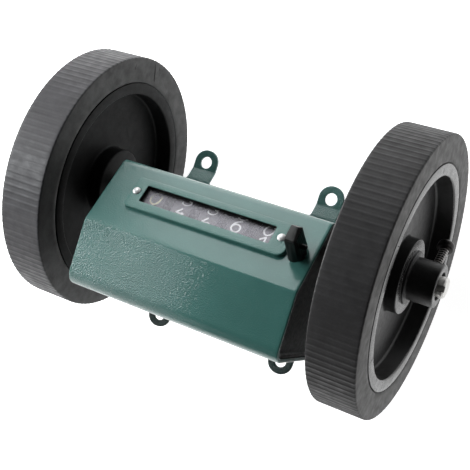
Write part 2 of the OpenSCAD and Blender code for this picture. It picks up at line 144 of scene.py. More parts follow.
def lathe(prof, n, cy=AY, cz=AZ, closed=True, mirror=False, rfun=None):
    """Revolves (r, x) points about an axis along X at (cy, cz)."""
    prof = np.asarray(prof, float)
    m = len(prof)
    th = np.arange(n) * 2 * math.pi / n
    R = np.repeat(prof[:, 0][None, :], n, 0)
    if rfun is not None:
        R = rfun(th[:, None], R, prof[:, 1][None, :])
    X = np.repeat(prof[:, 1][None, :], n, 0)
    V = np.stack([-X if mirror else X, cy + R * np.cos(th)[:, None], cz + R * np.sin(th)[:, None]], -1).reshape(-1, 3)
    F = []
    last = m if closed else m - 1
    for i in range(n):
        i2 = (i + 1) % n
        for j in range(last):
            j2 = (j + 1) % m
            F.append([i * m + j, i * m + j2, i2 * m + j2, i2 * m + j])
    if not closed:
        for j in (0, m - 1):
            if prof[j, 0] < 1e-6:
                continue
            F.append([i * m + j for i in range(n)])
    return V, F


def loft(rings, cap=(True, True), closed=False):
    """Joins rings of equal point count."""
    k = len(rings[0])
    V = np.vstack(rings)
    F = []
    last = len(rings) if closed else len(rings) - 1
    for a in range(last):
        b = (a + 1) % len(rings)
        for i in range(k):
            j = (i + 1) % k
            F.append([a * k + i, a * k + j, b * k + j, b * k + i])
    if not closed:
        if cap[0]:
            F.append(list(range(k)))
        if cap[1]:
            F.append([(len(rings) - 1) * k + i for i in range(k)])
    return V, F


def area2(P):
    x, y = P[:, 0], P[:, 1]
    return 0.5 * float(np.sum(x * np.roll(y, -1) - np.roll(x, -1) * y))


def inset(P, e, hole=False):
    """Moves a loop into the material by e: inwards for an outline, outwards for a hole."""
    P = np.asarray(P, float)
    ccw = area2(P) > 0
    d1 = P - np.roll(P, 1, 0)
    d2 = np.roll(P, -1, 0) - P
    n1 = np.c_[-d1[:, 1], d1[:, 0]] / np.maximum(np.linalg.norm(d1, axis=1), 1e-9)[:, None]
    n2 = np.c_[-d2[:, 1], d2[:, 0]] / np.maximum(np.linalg.norm(d2, axis=1), 1e-9)[:, None]
    n = n1 + n2
    ln = np.linalg.norm(n, axis=1)
    n = n / np.maximum(ln, 1e-9)[:, None]
    k = 1 / np.maximum(ln / 2, 0.5)
    sgn = (1 if ccw else -1) * (-1 if hole else 1)
    return P + sgn * e * n * k[:, None]


def in_poly(P, Q):
    """Which of the points Q lie in loop P."""
    x, y = Q[:, 0], Q[:, 1]
    res = np.zeros(len(Q), bool)
    a, b = P, np.roll(P, -1, 0)
    for (x1, y1), (x2, y2) in zip(a, b):
        if y1 == y2:
            continue
        c = (y1 > y) != (y2 > y)
        xi = x1 + (y - y1) * (x2 - x1) / (y2 - y1)
        res ^= c & (x < xi)
    return res


def near_loop(P, Q, d):
    """Which points Q are nearer than d to loop P."""
    res = np.zeros(len(Q), bool)
    a, b = P, np.roll(P, -1, 0)
    for p, q in zip(a, b):
        v = q - p
        L = max(float(v @ v), 1e-12)
        t = np.clip(((Q - p) @ v) / L, 0, 1)
        res |= np.linalg.norm(Q - (p + t[:, None] * v), axis=1) < d
    return res


def triangulate(loops, lattice):
    """Constrained triangles between an outline (first loop) and holes, with extra points."""
    lat = lattice[in_poly(loops[0], lattice)]
    for h in loops[1:]:
        lat = lat[~in_poly(h, lat)]
    for h in loops:
        lat = lat[~near_loop(h, lat, 0.28)]
    pts, edges = [], []
    for L in loops:
        s = len(pts)
        pts += [tuple(p) for p in L]
        edges += [(s + i, s + (i + 1) % len(L)) for i in range(len(L))]
    nl = len(pts)
    pts += [tuple(p) for p in lat]
    vs, es, fs, ov, oe, of_ = geometry.delaunay_2d_cdt([Vector(p) for p in pts], edges, [], 0, 1e-7)
    vs = np.array([(v.x, v.y) for v in vs])
    back = np.array([o[0] if len(o) else -1 for o in ov])
    tri = np.array([list(f) for f in fs])
    cen = vs[tri].mean(1)
    keep = in_poly(loops[0], cen)
    for h in loops[1:]:
        keep &= ~in_poly(h, cen)
    tri = back[tri[keep]]
    tri = tri[(tri >= 0).all(1)]
    P = np.array(pts)
    ar = np.cross(P[tri[:, 1]] - P[tri[:, 0]], P[tri[:, 2]] - P[tri[:, 0]])
    tri[ar < 0] = tri[ar < 0][:, ::-1]
    return P, tri, nl


def plate(outline, holes, t, e, mapf, lattice, seg=3, e_bot=None):
    """A sheet of thickness t with rounded edges; mapf(UV, depth) gives points in space."""
    e_bot = e if e_bot is None else e_bot
    loops = [np.asarray(outline, float)] + [np.asarray(h, float) for h in holes]
    parts = []
    top = [inset(L, e, i > 0) for i, L in enumerate(loops)]
    bot = [inset(L, e_bot, i > 0) for i, L in enumerate(loops)]
    Pt, Tt, nt = triangulate(top, lattice)
    Pb, Tb, nb = triangulate(bot, lattice)
    parts.append((mapf(Pt, np.zeros(len(Pt))), Tt.tolist()))
    parts.append((mapf(Pb, np.full(len(Pb), t)), Tb[:, ::-1].tolist()))
    for i, L in enumerate(loops):
        rings = []
        for k in range(seg + 1):
            a = math.pi / 2 * k / seg
            rings.append((inset(L, e * (1 - math.sin(a)), i > 0) if k < seg else L, e * (1 - math.cos(a))))
        for k in range(seg + 1):
            a = math.pi / 2 * k / seg
            rings.append((inset(L, e_bot * (1 - math.cos(a)), i > 0) if k else L, t - e_bot * (1 - math.sin(a))))
        R3 = [mapf(p, np.full(len(p), d)) for p, d in rings]
        parts.append(loft(R3, (False, False)))
    return join_parts(parts)


def grid(u0, u1, v0, v1, du, dv, us=None):
    us = np.arange(u0, u1 + 1e-6, du) if us is None else np.asarray(us)
    vs = np.arange(v0, v1 + 1e-6, dv)
    U, Vv = np.meshgrid(us, vs, indexing="ij")
    Q = np.c_[U.ravel(), Vv.ravel()]
    return Q


def rect(x0, x1, y0, y1, r, n=6, step=1.0):
    P = fillet([(x0, y0), (x1, y0), (x1, y1), (x0, y1)], r, True, n)
    return densify(P, step)


def circle(cx, cy, r, n=40):
    a = np.arange(n) * 2 * math.pi / n
    return np.c_[cx + r * np.cos(a), cy + r * np.sin(a)]


def on_face(x, s, off):
    """Points on the window face: x, distance s from the crease, height off."""
    x, s, off = np.broadcast_arrays(np.asarray(x, float), np.asarray(s, float), np.asarray(off, float))
    return np.stack([x, CREASE_Y + s * CF + off * SF, TOP - s * SF + off * CF], -1)


# ---------------------------------------------------------------- materials

class Mat:
    """A small builder for procedural materials; lengths are in millimetres."""

    def __init__(self, name, rough=0.5, metal=0.0, spec=0.5, coat=0.0, coat_rough=0.2):
        self.m = bpy.data.materials.new(name)
        self.m.use_nodes = True
        self.nt = self.m.node_tree
        self.nt.nodes.clear()
        self.out = self.nt.nodes.new("ShaderNodeOutputMaterial")
        self.b = self.nt.nodes.new("ShaderNodeBsdfPrincipled")
        self.nt.links.new(self.b.outputs[0], self.out.inputs[0])
        self.b.inputs["Roughness"].default_value = rough
        self.b.inputs["Metallic"].default_value = metal
        self.b.inputs["Specular IOR Level"].default_value = spec
        self.b.inputs["Coat Weight"].default_value = coat
        self.b.inputs["Coat Roughness"].default_value = coat_rough
        self.tc = self.nt.nodes.new("ShaderNodeTexCoord")

    def link(self, a, b):
        self.nt.links.new(a, b)

    def map(self, scale=(1, 1, 1), rot=(0, 0, 0)):
        n = self.nt.nodes.new("ShaderNodeMapping")
        n.inputs["Scale"].default_value = scale
        n.inputs["Rotation"].default_value = rot
        self.link(self.tc.outputs["Object"], n.inputs["Vector"])
        return n.outputs[0]

    def noise(self, size, detail=2.0, rough=0.5, dist=0.0, vec=None):
        n = self.nt.nodes.new("ShaderNodeTexNoise")
        n.inputs["Scale"].default_value = 1000.0 / size
        n.inputs["Detail"].default_value = detail
        n.inputs["Roughness"].default_value = rough
        n.inputs["Distortion"].default_value = dist
        self.link(vec or self.tc.outputs["Object"], n.inputs["Vector"])
        return n.outputs["Fac"]

    def voronoi(self, size, feature="SMOOTH_F1", vec=None, smooth=0.6):
        n = self.nt.nodes.new("ShaderNodeTexVoronoi")
        n.feature = feature
        n.inputs["Scale"].default_value = 1000.0 / size
        if feature == "SMOOTH_F1":
            n.inputs["Smoothness"].default_value = smooth
        self.link(vec or self.tc.outputs["Object"], n.inputs["Vector"])
        return n.outputs["Distance"]

    def ramp(self, fac, stops):
        n = self.nt.nodes.new("ShaderNodeValToRGB")
        cr = n.color_ramp
        while len(cr.elements) < len(stops):
            cr.elements.new(0.5)
        for el, (p, c) in zip(cr.elements, stops):
            el.position = p
            el.color = (*c, 1) if len(c) == 3 else c
        self.link(fac, n.inputs[0])
        return n.outputs[0]

    def rng(self, fac, a, b, c, d):
        n = self.nt.nodes.new("ShaderNodeMapRange")
        n.inputs[1].default_value = a
        n.inputs[2].default_value = b
        n.inputs[3].default_value = c
        n.inputs[4].default_value = d
        self.link(fac, n.inputs[0])
        return n.outputs[0]

    def math(self, op, a, b=None, clamp=False):
        n = self.nt.nodes.new("ShaderNodeMath")
        n.operation = op
        n.use_clamp = clamp
        for i, v in enumerate((a, b)):
            if v is None:
                continue
            if isinstance(v, (int, float)):
                n.inputs[i].default_value = v
            else:
                self.link(v, n.inputs[i])
        return n.outputs[0]

    def mix(self, fac, a, b):
        n = self.nt.nodes.new("ShaderNodeMix")
        n.data_type = "RGBA"
        for sock, v in ((n.inputs[0], fac), (n.inputs[6], a), (n.inputs[7], b)):
            if isinstance(v, (int, float)):
                sock.default_value = v
            elif isinstance(v, (tuple, list)):
                sock.default_value = (*v, 1)
            else:
                self.link(v, sock)
        return n.outputs[2]

    def attr(self, name):
        n = self.nt.nodes.new("ShaderNodeAttribute")
        n.attribute_name = name
        return n.outputs["Fac"]

    def bump(self, height, mm, strength=1.0, after=None):
        n = self.nt.nodes.new("ShaderNodeBump")
        if isinstance(strength, (int, float)):
            n.inputs["Strength"].default_value = strength
        else:
            self.link(strength, n.inputs["Strength"])
        n.inputs["Distance"].default_value = mm * MM
        self.link(height, n.inputs["Height"])
        if after is not None:
            self.link(after, n.inputs["Normal"])
        return n.outputs[0]

    def color(self, sock):
        self.link(sock, self.b.inputs["Base Color"])

    def rough(self, sock):
        self.link(sock, self.b.inputs["Roughness"])

    def normal(self, sock):
        self.link(sock, self.b.inputs["Normal"])
        if self.b.inputs["Coat Weight"].default_value > 0:
            self.link(sock, self.b.inputs["Coat Normal"])
        return self

    def position(self):
        n = self.nt.nodes.new("ShaderNodeSeparateXYZ")
        self.link(self.tc.outputs["Object"], n.inputs[0])
        return n.outputs


def lin(*rgb):
    return tuple(((c / 255 + 0.055) / 1.055) ** 2.4 if c > 10 else c / 255 / 12.92 for c in rgb)


def paint(name, base, dark, grain=1.0, rough=(0.28, 0.40), front_ears_painted_shade=False, uneven=False):
    """Hammer-wrinkled enamel: fine leather-like grain, slight shade drift, dust in the low spots."""
    m = Mat(name, coat=0.60, coat_rough=0.11, spec=0.32)
    drift = m.noise(18, 3, 0.55)
    fine = m.noise(1.1, 3, 0.6)
    c = m.mix(m.rng(drift, 0.35, 0.68, 0, 1), dark, base)
    low = m.voronoi(0.43, vec=m.map((1, 1.15, 1)))
    c = m.mix(m.rng(low, 0.12, 0.45, 0.0, 0.30), c, tuple(min(1, v * 0.66) for v in base))
    if front_ears_painted_shade:
        # oily dirt has gathered on the two front ears
        y = m.position()[1]
        # painted shade on the two front ears: darkened towards their tips, with most of the gloss coat taken off
        c = m.mix(m.rng(y, -0.0262, -0.0236, 0.86, 0.0), c, (0.006, 0.010, 0.009))
        m.link(m.rng(y, -0.0262, -0.0236, 0.04, 0.60), m.b.inputs["Coat Weight"])
    m.color(c)
    m.rough(m.rng(fine, 0.3, 0.7, *rough))
    peel = m.noise(2.4, 2, 0.5)
    wr = m.noise(0.36, 1.5, 0.5, 0.3)
    b = m.bump(peel, 0.08 * grain, 0.3)
    s1, s2 = 0.85, 0.8
    if uneven:
        # the spray lies roughest at the left of the flat top and levels out towards the knob and on the window face
        x, y = m.position()[0], m.position()[1]
        k = m.math("MULTIPLY", m.rng(x, -0.022, 0.019, 1.0, 0.16), m.rng(y, -0.0008, 0.0014, 1.0, 0.10))
        s1 = s2 = k
    b = m.bump(low, 0.17 * grain, s1, b)
    b = m.bump(wr, 0.20 * grain, s2, b)
    m.normal(b)
    return m.m


def black_paint(name):
    m = Mat(name, spec=0.10)
    m.color(m.mix(m.rng(m.noise(6, 3), 0.4, 0.7, 0, 1), (0.0030, 0.0034, 0.0032), (0.0075, 0.0082, 0.0078)))
    m.rough(m.rng(m.noise(1.4, 3), 0.3, 0.7, 0.30, 0.45))
    b = m.bump(m.noise(2.2, 2), 0.08, 0.4)
    m.normal(m.bump(m.noise(0.6, 2), 0.04, 0.4, b))
    return m.m


def moulding(name, base, dust, rough=(0.36, 0.52), grain=0.5, dust_amount=0.5, spec=0.45):
    """Moulded thermoplastic: fine spark texture, flow marks, thin dust film."""
    m = Mat(name, spec=spec)
    flow = m.noise(14, 3, 0.6, 0.8)
    specks = m.noise(0.5, 3, 0.7)
    film = m.math("MULTIPLY", m.rng(flow, 0.42, 0.75, 0, dust_amount), m.rng(specks, 0.35, 0.75, 0.4, 1))
    m.color(m.mix(film, base, dust))
    m.rough(m.rng(m.noise(2.4, 3, 0.6), 0.3, 0.72, *rough))
    b = m.bump(m.noise(5, 2), 0.10 * grain, 0.3)
    m.normal(m.bump(specks, 0.05 * grain, 0.6, b))
    return m.m


def rubber(name, base, dust, grain=1.0, rough=(0.58, 0.78), spec=0.35):
    """Moulded rubber: matt, mottled grey bloom, pits and fine scuffs."""
    m = Mat(name, spec=spec)
    bloom = m.noise(9, 4, 0.6, 0.4)
    pit = m.voronoi(1.3)
    fine = m.noise(0.45, 3, 0.7)
    f = m.math("MULTIPLY", m.rng(bloom, 0.35, 0.72, 0.15, 0.9), m.rng(fine, 0.3, 0.75, 0.5, 1))
    c = m.mix(f, base, dust)
    c = m.mix(m.rng(pit, 0.02, 0.12, 0.35, 0.0), c, tuple(v * 0.45 for v in base))
    m.color(c)
    m.rough(m.rng(m.noise(3, 3), 0.3, 0.7, *rough))
    b = m.bump(m.noise(3.5, 3), 0.10 * grain, 0.4)
    b = m.bump(pit, 0.05 * grain, 0.3, b)
    m.normal(m.bump(fine, 0.045 * grain, 0.6, b))
    return m.m


def steel(name, base, tint, rough=(0.22, 0.38), lines=(1, 1, 1), grain=1.0, metal=1.0):
    """Drawn or rolled metal: fine lines, stained patches."""
    m = Mat(name, metal=metal)
    v = m.map(lines)
    ln = m.noise(0.25, 2, 0.6, vec=v)
    patch = m.noise(4.5, 3, 0.6)
    c = m.mix(m.rng(patch, 0.4, 0.75, 0, 0.7), base, tint)
    m.color(m.mix(m.rng(ln, 0.35, 0.7, 0.0, 0.18), c, tuple(x * 0.7 for x in base)))
    m.rough(m.rng(ln, 0.3, 0.7, *rough))
    b = m.bump(ln, 0.012 * grain, 0.6)
    m.normal(m.bump(patch, 0.02 * grain, 0.3, b))
    return m.m


def nylon(name, base, dark):
    m = Mat(name, spec=0.4)
    m.b.inputs["Subsurface Weight"].default_value = 0.12
    m.b.inputs["Subsurface Radius"].default_value = (0.0012, 0.001, 0.0008)
    m.b.inputs["Subsurface Scale"].default_value = 1.0
    m.color(m.mix(m.rng(m.noise(3, 3), 0.4, 0.75, 0, 0.6), base, dark))
    m.rough(m.rng(m.noise(1.2, 2), 0.3, 0.7, 0.38, 0.52))
    m.normal(m.bump(m.noise(0.8, 2), 0.03, 0.4))
    return m.m


M = {}
M["green"] = paint("paint_green", (0.052, 0.168, 0.149), (0.041, 0.139, 0.122), 1.28, (0.28, 0.40), uneven=True)
M["green_flat"] = paint("paint_green_flat", (0.054, 0.172, 0.150), (0.044, 0.146, 0.127), 0.4, (0.32, 0.44))
# a lighter copy of the green paint for the base plate: painted light, with painted shade on its two front ears
M["green_ears"] = paint("paint_green_plate_painted_light_and_shade", (0.112, 0.246, 0.224), (0.066, 0.172, 0.156), 0.85, (0.26, 0.36), True)
M["black"] = black_paint("paint_black")
M["plastic"] = moulding("moulding_black", (0.0058, 0.0057, 0.0060), (0.025, 0.0242, 0.025), (0.33, 0.48), grain=0.8, dust_amount=0.45)
# a darker, less glossy copy of the black moulding for the left wheel core: painted shade
M["plastic_in"] = moulding("moulding_black_painted_shade", (0.0040, 0.0040, 0.0042), (0.020, 0.0195, 0.020), (0.40, 0.56), 0.8, 0.5, 0.09)
# a lighter, glossier copy of the black moulding for the rim's outer annulus; the lighter colour is painted highlight
M["rim"] = moulding("moulding_rim_face_painted_highlight", (0.020, 0.0195, 0.020), (0.055, 0.053, 0.055), (0.22, 0.34), 0.7, 0.6, 0.62)
M["boss"] = moulding("moulding_boss_face", (0.012, 0.0118, 0.012), (0.050, 0.049, 0.050), (0.20, 0.32), 1.6, 0.8, 0.55)
# a lighter copy of the black moulding for the hub: painted light
M["hub"] = moulding("moulding_hub_painted_light", (0.010, 0.0098, 0.010), (0.034, 0.033, 0.034), (0.34, 0.50), 1.0, 0.6)
M["knob"] = moulding("moulding_knob", (0.0045, 0.0050, 0.0048), (0.018, 0.018, 0.018), (0.30, 0.42), 0.5, 0.35, 0.30)
M["tread"] = rubber("rubber_tread", (0.010, 0.0095, 0.010), (0.032, 0.0305, 0.032), 1.0, (0.48, 0.66), 0.40)
# a lighter copy of the tread rubber for the left tyre: painted light
M["tread_left"] = rubber("rubber_tread_left_painted_light", (0.0140, 0.0134, 0.0158), (0.042, 0.0405, 0.0465), 0.9, (0.44, 0.62), 0.42)
M["side"] = rubber("rubber_side", (0.020, 0.0192, 0.0188), (0.054, 0.0518, 0.0508), 0.6, (0.42, 0.60), 0.25)
# a darker copy of the side-wall rubber for the left tyre's inner face: painted shade
M["side_in"] = rubber("rubber_side_painted_shade", (0.012, 0.0117, 0.0117), (0.045, 0.044, 0.044), 0.8, (0.45, 0.65))
M["steel"] = steel("steel_zinc", (0.62, 0.62, 0.60), (0.48, 0.48, 0.47), (0.28, 0.42))
M["sheet"] = steel("steel_sheet", (0.56, 0.56, 0.55), (0.44, 0.44, 0.43), (0.3, 0.46), (1, 1, 0.12))
M["axle"] = steel("steel_axle", (0.93, 0.92, 0.89), (0.84, 0.83, 0.80), (0.30, 0.42), (0.15, 1, 1), 1.0, 0.30)
M["rivet"] = steel("steel_rivet", (0.66, 0.66, 0.66), (0.56, 0.56, 0.56), (0.34, 0.44), (1, 1, 1), 0.3, 0.40)
M["bronze"] = steel("bronze_sintered", (0.50, 0.36, 0.19), (0.36, 0.25, 0.13), (0.36, 0.52), (1, 1, 1), 2.0)
M["brass"] = steel("brass_cut", (0.76, 0.58, 0.28), (0.60, 0.44, 0.20), (0.22, 0.36))
M["nylon"] = nylon("nylon_natural", (0.72, 0.70, 0.62), (0.58, 0.55, 0.47))
M["drum"] = moulding("moulding_drum", (0.012, 0.0115, 0.012), (0.04, 0.038, 0.04), (0.40, 0.55), 0.6, 0.6)
M["drum_edge"] = moulding("moulding_drum_edge", (0.030, 0.028, 0.030), (0.08, 0.075, 0.08), (0.12, 0.2), 0.2, 0.4)
M["gear"] = moulding("moulding_gear", (0.010, 0.0095, 0.010), (0.03, 0.028, 0.03), (0.38, 0.5), 0.6, 0.5)
M["screw"] = steel("steel_oiled_screw", (0.62, 0.60, 0.59), (0.48, 0.44, 0.41), (0.24, 0.38), (1, 1, 1), 0.6, 0.35)
M["oxide"] = steel("steel_black_oxide", (0.035, 0.034, 0.034), (0.06, 0.055, 0.05), (0.26, 0.42))


def print_mat(name, base, worn):
    m = Mat(name, rough=0.5, spec=0.4)
    m.color(m.mix(m.rng(m.noise(0.5, 3, 0.7), 0.52, 0.75, 0, 0.6), base, worn))
    m.rough(m.rng(m.noise(0.8, 2), 0.3, 0.7, 0.42, 0.6))
    m.normal(m.bump(m.noise(0.3, 2), 0.01, 0.5))
    return m.m


M["white"] = print_mat("print_white", (0.96, 0.96, 0.96), (0.80, 0.80, 0.81))
M["cream"] = print_mat("print_cream", (0.97, 0.92, 0.60), (0.76, 0.71, 0.46))


def dark_mark(name):
    m = Mat(name, rough=0.8, spec=0.2)
    m.color(m.mix(m.rng(m.noise(0.4, 2), 0.4, 0.6, 0, 1), (0.004, 0.004, 0.004), (0.012, 0.011, 0.011)))
    m.normal(m.bump(m.noise(0.2, 2), 0.02, 0.6))
    return m.m


M["mark"] = dark_mark("rubber_crack")


def bare(name):
    m = Mat(name, metal=0.9)
    m.color(m.mix(m.rng(m.noise(0.3, 3), 0.4, 0.7, 0, 1), (0.72, 0.70, 0.66), (0.42, 0.40, 0.36)))
    m.rough(m.rng(m.noise(0.4, 2), 0.3, 0.7, 0.3, 0.5))
    m.normal(m.bump(m.noise(0.25, 2), 0.02, 0.6))
    return m.m


M["bare"] = bare("steel_bare_chip")


def pane():
    # the sheet's own gloss, broadened by old dust and fine scratches
    m = Mat("pane_clear", rough=0.3, spec=0.5, metal=0.9)
    m.color(m.mix(m.rng(m.noise(4.0, 3, 0.6), 0.4, 0.7, 0, 1), (0.82, 0.79, 0.86), (0.74, 0.72, 0.77)))
    m.b.inputs["IOR"].default_value = 1.49
    m.link(m.rng(m.noise(3.0, 3, 0.6), 0.35, 0.75, 0.064, 0.078), m.b.inputs["Alpha"])
    m.rough(m.rng(m.noise(1.5, 3), 0.3, 0.7, 0.28, 0.36))
    m.normal(m.bump(m.noise(7, 2), 0.02, 0.3))
    return m.m


M["pane"] = pane()


# ---------------------------------------------------------------- CAD nodes kept as they are

def keep(node, mat, bevel=0.12, seg=2):
    ob = NODES[node]
    me = ob.data
    me.materials.clear()
    me.materials.append(mat)
    if bevel:
        w = ob.modifiers.new("weld", "WELD")
        w.merge_threshold = 2e-6
        b = ob.modifiers.new("edge", "BEVEL")
        b.width = bevel * MM
        b.segments = seg
        b.limit_method = "ANGLE"
        b.angle_limit = math.radians(40)
        b.use_clamp_overlap = True
        n = ob.modifiers.new("shade", "WEIGHTED_NORMAL")
        n.weight = 60
        n.keep_sharp = False
    return ob


keep("counter_frame", M["sheet"], 0.15)
keep("frame_screws", M["steel"], 0.12)
keep("base_screws", M["steel"], 0.12)
keep("cover_screws", M["steel"], 0.12)
keep("left_bush", M["bronze"], 0.2)
keep("right_bush", M["bronze"], 0.2)
keep("axle_clips", M["oxide"], 0.1)
keep("drive_gear", M["brass"], 0)
keep("intermediate_shaft", M["steel"], 0.2)
keep("intermediate_gear", M["nylon"], 0)
keep("intermediate_pinion", M["nylon"], 0)
keep("counter_shaft", M["steel"], 0.2)
keep("pinion_shaft", M["steel"], 0.12)
for n in ("units", "tens", "hundreds", "thousands", "top"):
    keep(n + "_wheel", M["drum"], 0)
for n in (1, 2, 3, 4):
    keep("transfer_pinion_%d" % n, M["gear"], 0.08)
keep("reset_spindle", M["steel"], 0.1)
keep("spindle_clip", M["oxide"], 0.06)
keep("reset_comb", M["sheet"], 0.12)
keep("comb_spring", M["steel"], 0)
keep("window_pane", M["pane"], 0.1)
axle = keep("axle", M["axle"], 0.1)
# painted shade: the two keyways take the dark oxide material
axle.data.materials.append(M["oxide"])
co, nr = np.empty(len(axle.data.polygons) * 3), np.empty(len(axle.data.polygons) * 3)
axle.data.polygons.foreach_get("center", co)
axle.data.polygons.foreach_get("normal", nr)
co, nr = co.reshape(-1, 3) / MM, nr.reshape(-1, 3)
out = (co[:, 1] - AY) * nr[:, 1] + (co[:, 2] - AZ) * nr[:, 2]
rad = np.hypot(co[:, 1] - AY, co[:, 2] - AZ)
key = (np.abs(co[:, 0]) > 68) & (np.abs(nr[:, 0]) < 0.1) & (out < 0.985 * rad) & (rad < 3.47)
axle.data.polygons.foreach_set("material_index", key.astype(int).tolist())


# ---------------------------------------------------------------- cover

def section_table():
    """Outer section of the housing as (arc length, y, z, normal y, normal z)."""
    c0 = CREASE_Y * SF + TOP * CF
    kx = ((c0 - TOP * CF) / SF, TOP)
    tx = (HW, (c0 - HW * SF) / CF)
    P = fillet([(-HW, ZB), (-HW, TOP), kx, tx, (HW, ZB)], [0, 5.0, 1.9, 2.6, 0], False, 18)
    P = densify(P, 0.6, False)
    d = np.gradient(P, axis=0)
    # exact tangents from neighbours, averaged
    seg = np.diff(P, axis=0)
    L = np.linalg.norm(seg, axis=1)
    u = np.r_[0, np.cumsum(L)]
    seg = seg / L[:, None]
    tan = np.vstack([seg[:1], (seg[:-1] + seg[1:]) / 2, seg[-1:]])
    tan /= np.linalg.norm(tan, axis=1)[:, None]
    N = np.c_[-tan[:, 1], tan[:, 0]]
    return u, P, N


SU, SP, SN = section_table()
U_LEN = SU[-1]


def cover_map(Q, d):
    u = np.clip(Q[:, 0], 0, U_LEN)
    y, z = np.interp(u, SU, SP[:, 0]), np.interp(u, SU, SP[:, 1])
    ny, nz = np.interp(u, SU, SN[:, 0]), np.interp(u, SU, SN[:, 1])
    ln = np.hypot(ny, nz)
    ny, nz = ny / ln, nz / ln
    return np.c_[Q[:, 1], y - d * ny, z - d * nz]


def u_of_s(s):
    """Arc length along the section of the point s from the crease on the window face."""
    y, z = CREASE_Y + s * CF, TOP - s * SF
    i = int(np.argmin(np.hypot(SP[:, 0] - y, SP[:, 1] - z)))
    k = slice(max(0, i - 1), i + 2)
    # straight part of the face: measured from the nearest table point
    t = np.array([CF, -SF])
    return float(SU[i] + (np.array([y, z]) - SP[i]) @ t)


u_r = u_of_s(15.1)
u_k = u_of_s(KNOB_S)
# rows of the lattice: dense where the sheet bends
rows = [r for r in SU if 0.4 < r < U_LEN - 0.4]
rows = np.array(rows)
lat = grid(0, 0, X0 + 0.6, X1 - 0.6, 1, 1.15, us=rows)
V, F = plate(
    densify(fillet([(0, X0), (U_LEN, X0), (U_LEN, X1), (0, X1)], 0.5, True, 4), 0.9),
    [rect(u_of_s(10.65), u_of_s(19.45), -20.6, 29.4, 0.25, 3, 0.8),
     circle(u_r, -22.2, 1.05, 24), circle(u_r, 31.2, 1.05, 24), circle(u_k, KNOB_X, 1.65, 32)],
    COVER_T, 0.30, cover_map, lat, 4)
cover_parts = [(V, F)]
# flanges turned in along the bottom edges
for s in (-1, 1):
    y0, y1 = sorted((s * (HW - 0.6), s * (HW - 6)))
    P = rect(X0 + 7, X1 - 7, y0, y1, 1.2, 4, 3)
    holes = [circle(x, s * 19.2, 1.25, 20) for x in (X0 + 16, X1 - 16)]
    cover_parts.append(plate(P, holes, 1.15, 0.15, lambda Q, d: np.c_[Q, ZB + 1.18 - d], grid(X0, X1, -HW, HW, 3, 3), 2))
cover = piece("cover_shell", *join_parts(cover_parts), body="housing", nodes=("cover",), slot="green_paint", mat=M["green"], sharp=50)


# ---------------------------------------------------------------- base plate with joggled ears

def base_outline():
    ex, ey, r = 25.7, 30.05, 4.75
    pts, rad = [], []

    def add(x, y, rr):
        pts.append((x, y))
        rad.append(rr)
    add(X0, -HW, 0.8)
    for cx in (-ex, ex):
        add(cx - r, -HW, 0.7)
        add(cx - r, -ey - r, 4.6)
        add(cx + r, -ey - r, 4.6)
        add(cx + r, -HW, 0.7)
    add(X1, -HW, 0.8)
    add(X1, HW, 0.8)
    for cx in (ex, -ex):
        add(cx + r, HW, 0.7)
        add(cx + r, ey + r, 4.6)
        add(cx - r, ey + r, 4.6)
        add(cx - r, HW, 0.7)
    add(X0, HW, 0.8)
    return densify(fillet(pts, rad, True, 9), 0.8)


def joggle_table():
    prof = fillet([(0, JOGGLE), (22.55, JOGGLE), (26.85, 0), (40, 0)], [0, 1.6, 1.6, 0], False, 8)
    return densify(prof, 0.4, False)


JT = joggle_table()


def base_map(Q, d):
    """Top surface at depth 0; d runs down through the sheet."""
    ay = np.abs(Q[:, 1])
    h = np.interp(ay, JT[:, 0], JT[:, 1])
    sl = np.gradient(JT[:, 1], JT[:, 0])
    g = np.interp(ay, JT[:, 0], sl)
    nz = 1 / np.sqrt(1 + g * g)
    ny = -g * nz * np.sign(Q[:, 1])
    k = BASE_T - d
    return np.c_[Q[:, 0], Q[:, 1] + ny * k, h + nz * k]


holes = [circle(sx * 25.7, sy * 30.05, 2.25, 40) for sx in (-1, 1) for sy in (-1, 1)]
holes += [circle(x, y, 1.6, 24) for x in (X0 + 5.4, X1 - 5.4) for y in (-12, 12)]
holes += [circle(x, -8, 1.6, 24) for x in (-17, 24)]
holes += [circle(x, y, 1.6, 24) for x in (X0 + 16, X1 - 16) for y in (-19.2, 19.2)]
V, F = plate(base_outline(), holes, BASE_T, 0.3, base_map,
             np.vstack([grid(X0 + 1, X1 - 1, -21, 21, 2.5, 2.5), grid(-31, 31, 21.9, 35, 0.8, 0.45), grid(-31, 31, -35, -21.9, 0.8, 0.45)]), 3)
piece("base_plate_pressed", V, F, body="housing", nodes=("base_plate",), slot="green_paint", mat=M["green_ears"], sharp=50)


# ---------------------------------------------------------------- end plates

def housing_loop(d, z0, n_corner=10):
    c0 = CREASE_Y * SF + TOP * CF
    kx = ((c0 - d - (TOP - d) * CF) / SF, TOP - d)
    tx = (HW - d, (c0 - d - (HW - d) * SF) / CF)
    P = fillet([(-HW + d, z0), (-HW + d, TOP - d), kx, tx, (HW - d, z0)],
               [max(1.2 - (d - 1.3), 0.3), max(5 - d, 0.5), max(3 - d, 0.5), max(2.6 - d, 0.4), max(1.2 - (d - 1.3), 0.3)], True, n_corner)
    return P


